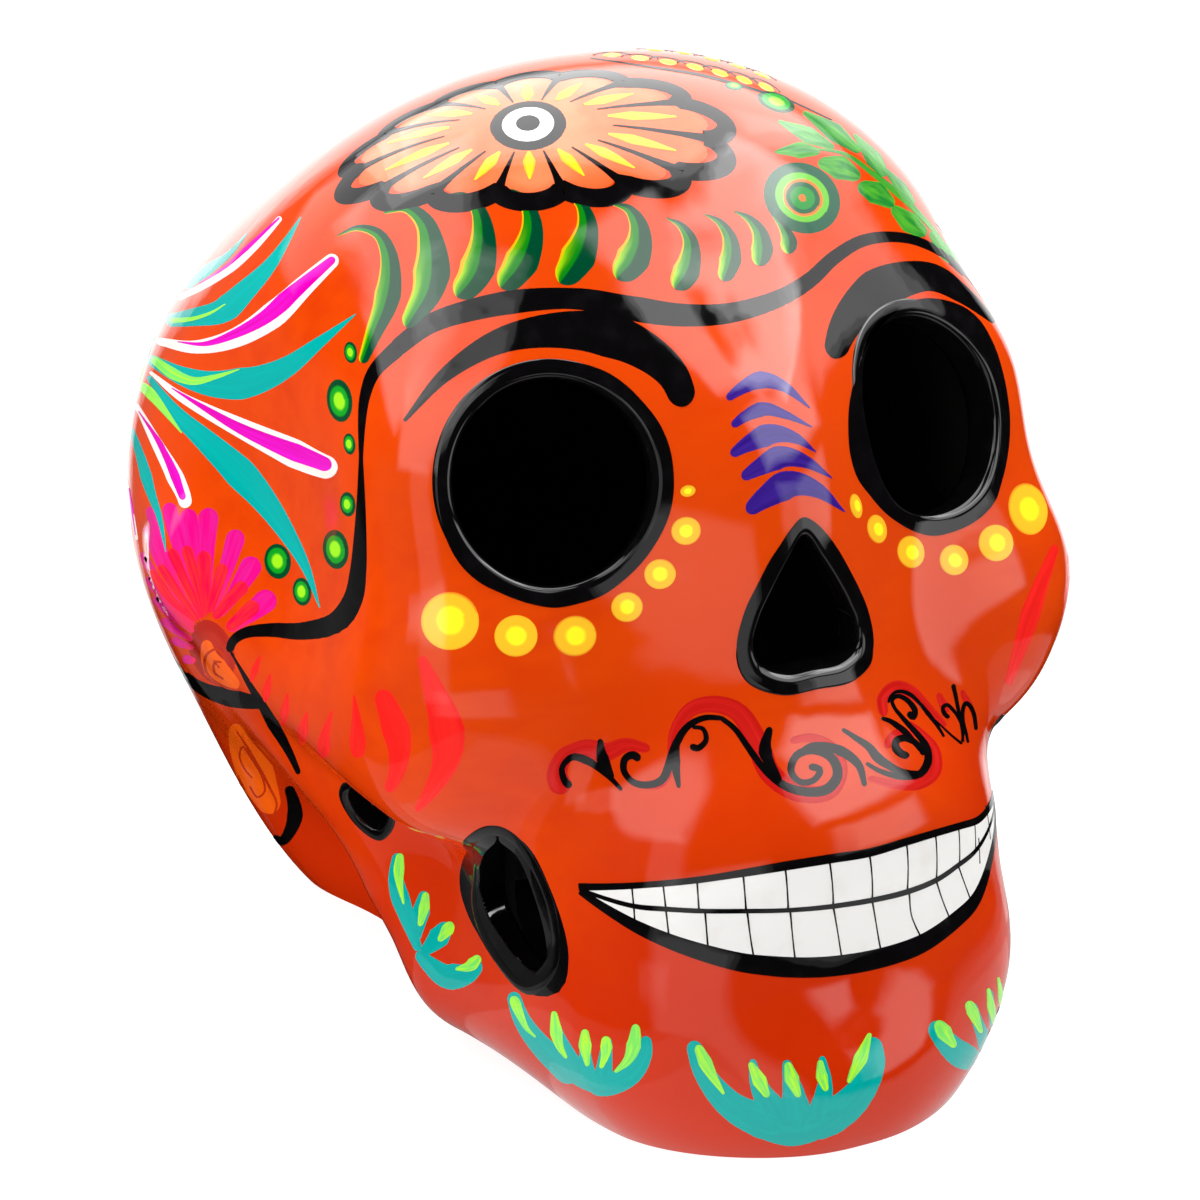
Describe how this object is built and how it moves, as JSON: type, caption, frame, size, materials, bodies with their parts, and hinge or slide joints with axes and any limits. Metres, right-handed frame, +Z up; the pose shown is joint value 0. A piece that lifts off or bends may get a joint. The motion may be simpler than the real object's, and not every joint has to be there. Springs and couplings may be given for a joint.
{
  "type": "sugar skull",
  "caption": "Hollow hand-painted earthenware skull with open eyes, nose and cheeks and a painted smile, standing on its flat base.",
  "frame": {"origin": "middle of the flat base that the skull stands on", "axes": "+Z up, the face looks along -Y, the skull's left side lies at +X"},
  "size_m": [0.1456, 0.1789, 0.1541],
  "materials": {
    "painted_clay": "burnt-orange coat under clear gloss glaze, black inside",
    "bare_clay": "bare fired clay underneath, black inside",
    "white_enamel": "gloss white enamel with thin black lines",
    "black_enamel": "thick gloss black enamel"
  },
  "bodies": {
    "root": {"face_casting": "painted_clay", "rear_casting": "painted_clay", "floor_slab": "bare_clay", "upper_teeth": "white_enamel", "lower_teeth": "white_enamel", "eye_rim_left": "black_enamel", "eye_rim_right": "black_enamel", "nose_rim": "black_enamel", "cheek_rim_left": "black_enamel", "cheek_rim_right": "black_enamel", "arch_rim_left": "black_enamel", "arch_rim_right": "black_enamel"}
  },
  "joints": []
}
